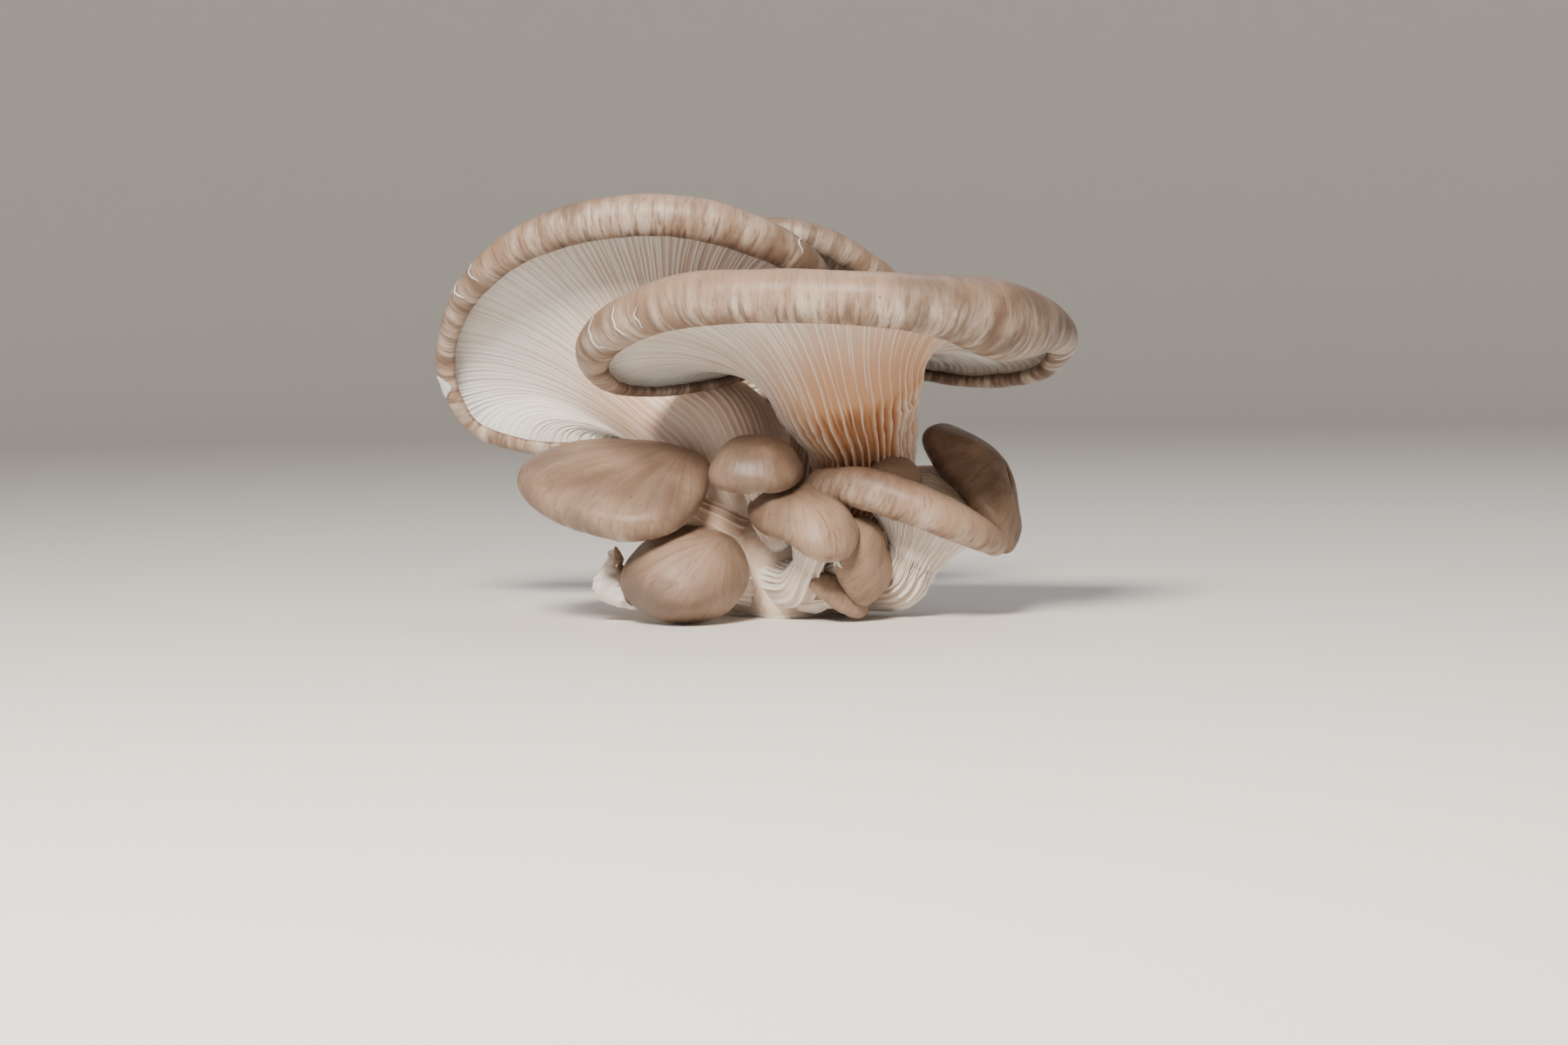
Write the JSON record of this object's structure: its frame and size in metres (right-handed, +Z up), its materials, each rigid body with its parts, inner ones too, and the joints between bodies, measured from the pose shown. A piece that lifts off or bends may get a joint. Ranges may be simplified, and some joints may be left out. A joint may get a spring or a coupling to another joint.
{
  "type": "oyster mushroom cluster",
  "caption": "Cluster of oyster mushrooms: rolled fan caps over running gills, small caps crowded round one fused butt with a flat cut face.",
  "frame": {"origin": "on the flat cut under the fused butt, below the place where the stems meet", "axes": "+X to the right and +Y to the back as seen from the pictured front, +Z up, away from the cut face"},
  "size_m": [0.1417, 0.1217, 0.0925],
  "materials": {
    "cap_skin": "satin, taupe-brown mushroom skin",
    "gill_flesh": "matte, off-white mushroom gills and stems",
    "butt_flesh": "matte, white felted mushroom flesh"
  },
  "bodies": {
    "root": {"butt": "butt_flesh", "cap_front": "cap_skin", "cap_left": "cap_skin", "cap_back": "cap_skin", "cap_shelf": "cap_skin", "cap_button": "cap_skin", "cap_middle": "cap_skin", "cap_fold": "cap_skin", "cap_bud": "cap_skin", "cap_right": "cap_skin", "cap_peep": "cap_skin", "cap_ear": "cap_skin", "cap_low": "cap_skin", "gills_front": "gill_flesh", "gills_left": "gill_flesh", "gills_back": "gill_flesh", "gills_shelf": "gill_flesh", "gills_button": "gill_flesh", "gills_middle": "gill_flesh", "gills_fold": "gill_flesh", "gills_bud": "gill_flesh", "gills_right": "gill_flesh", "gills_peep": "gill_flesh", "gills_ear": "gill_flesh", "gills_low": "gill_flesh"}
  },
  "joints": []
}
